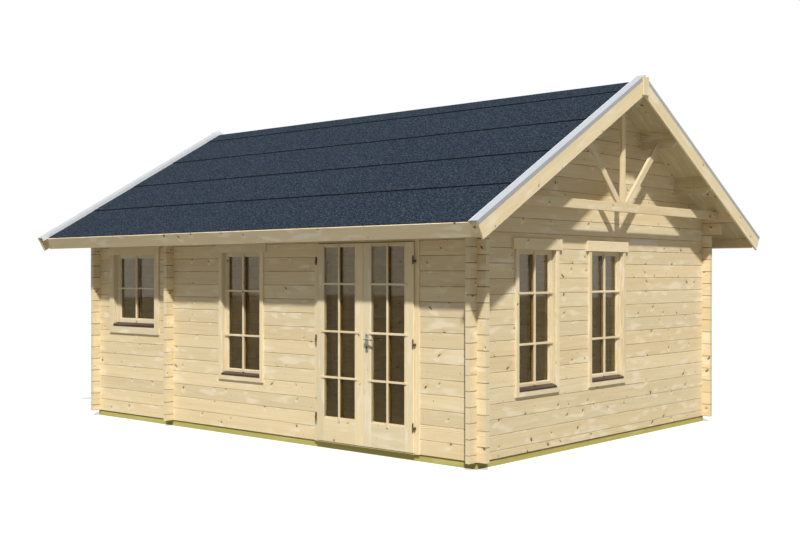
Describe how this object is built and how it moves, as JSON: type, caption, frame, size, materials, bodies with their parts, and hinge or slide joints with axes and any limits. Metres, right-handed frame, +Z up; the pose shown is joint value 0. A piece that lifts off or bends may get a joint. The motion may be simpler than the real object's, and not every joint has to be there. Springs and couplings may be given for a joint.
{
  "type": "log cabin",
  "caption": "Timber log cabin with interlocked log corners, a felt gable roof, a glazed double door that opens outwards, barred windows and a decorative gable truss.",
  "frame": {"origin": "on the ground under the middle of the plan, at the underside of the bearers", "axes": "+Z up, +X along the ridge towards the gable with the truss, -Y towards the front wall with the door"},
  "size_m": [6.474, 5.2734, 3.5633],
  "materials": {
    "spruce": "planed, untreated",
    "treated_wood": "pressure treated, sawn",
    "roof_felt": "mineral granules",
    "metal_trim": "mill finish",
    "glass": "clear",
    "sill_wood": "dark stained",
    "hinge_metal": "brown coated",
    "handle_steel": "brushed"
  },
  "bodies": {
    "cabin": {"floor_boards": "spruce", "front_wall_left": "spruce", "front_wall_right": "spruce", "front_wall_top": "spruce", "back_wall": "spruce", "right_gable_wall": "spruce", "left_gable_wall": "spruce", "cross_wall": "spruce", "right_gable_peak": "spruce", "left_gable_peak": "spruce", "ridge_purlin": "spruce", "side_purlins": "spruce", "tie_beam": "spruce", "king_post": "spruce", "truss_braces": "spruce", "front_roof_boards": "spruce", "back_roof_boards": "spruce", "front_fascia": "spruce", "back_fascia": "spruce", "verge_upstands": "spruce", "right_barge_boards": "spruce", "left_barge_boards": "spruce", "apex_boards": "spruce", "door_frame": "spruce", "tall_window_casings": "spruce", "small_window_casing": "spruce", "tall_window_sashes": "spruce", "small_window_sash": "spruce", "long_bearers": "treated_wood", "cross_bearers": "treated_wood", "front_felt": "roof_felt", "back_felt": "roof_felt", "right_verge_trim": "metal_trim", "left_verge_trim": "metal_trim", "window_glass": "glass", "window_sills": "sill_wood", "frame_hinges": "hinge_metal"},
    "left_leaf": {"left_door_leaf": "spruce", "left_door_glass": "glass", "left_leaf_hinges": "hinge_metal"},
    "right_leaf": {"right_door_leaf": "spruce", "right_door_glass": "glass", "right_leaf_hinges": "hinge_metal", "handle_plates": "handle_steel"},
    "lever": {"handle_lever": "handle_steel"}
  },
  "joints": [
    {"name": "left_leaf_hinge", "type": "hinge", "parent": "cabin", "child": "left_leaf", "pos_m": [0.903, -2.14, 0.2], "axis": [0, 0, -1], "range_deg": [0, 110]},
    {"name": "right_leaf_hinge", "type": "hinge", "parent": "cabin", "child": "right_leaf", "pos_m": [2.121, -2.14, 0.2], "axis": [0, 0, 1], "range_deg": [0, 110]},
    {"name": "lever_turn", "type": "hinge", "parent": "right_leaf", "child": "lever", "pos_m": [1.5625, -2.132, 1.057], "axis": [0, 1, 0], "range_deg": [0, 45], "stiffness_Nm_per_rad": 1.5, "springref_deg": -28.65}
  ]
}
